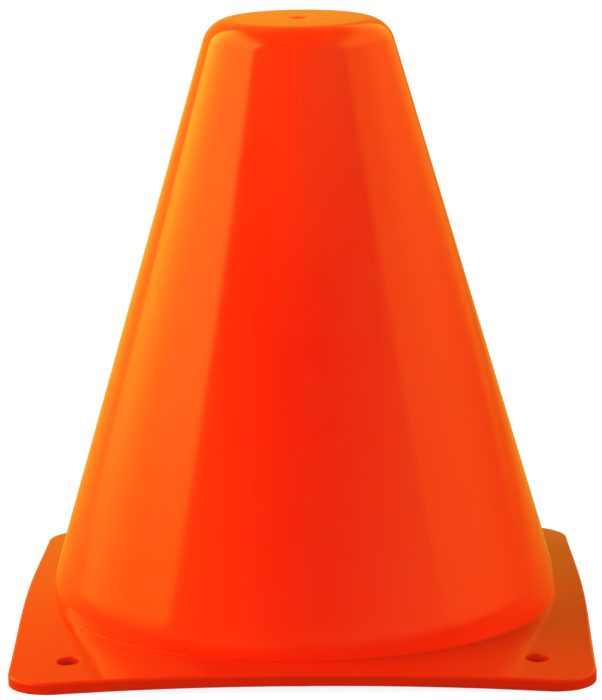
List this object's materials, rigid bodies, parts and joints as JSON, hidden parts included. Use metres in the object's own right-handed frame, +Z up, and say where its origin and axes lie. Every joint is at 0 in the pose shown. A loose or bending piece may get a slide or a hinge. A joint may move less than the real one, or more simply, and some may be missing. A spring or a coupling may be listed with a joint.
{
  "type": "marker cone",
  "caption": "Small glossy orange marker cone: a hollow cone body with a flat rounded top, standing up through a square base plate with rounded, drooping corners and a hole in each corner.",
  "frame": {"origin": "on the surface the cone stands on, under the cone's axis", "axes": "+Z up along the cone's axis, X and Y square to the sides of the base, -Y towards the viewer of the picture"},
  "size_m": [0.1428, 0.1428, 0.1524],
  "materials": {
    "cone_plastic": "glossy moulded fluorescent orange polyethylene",
    "base_plastic": "glossy moulded fluorescent orange polyethylene"
  },
  "bodies": {
    "root": {"cone_body": "cone_plastic", "base_plate": "base_plastic"}
  },
  "joints": []
}
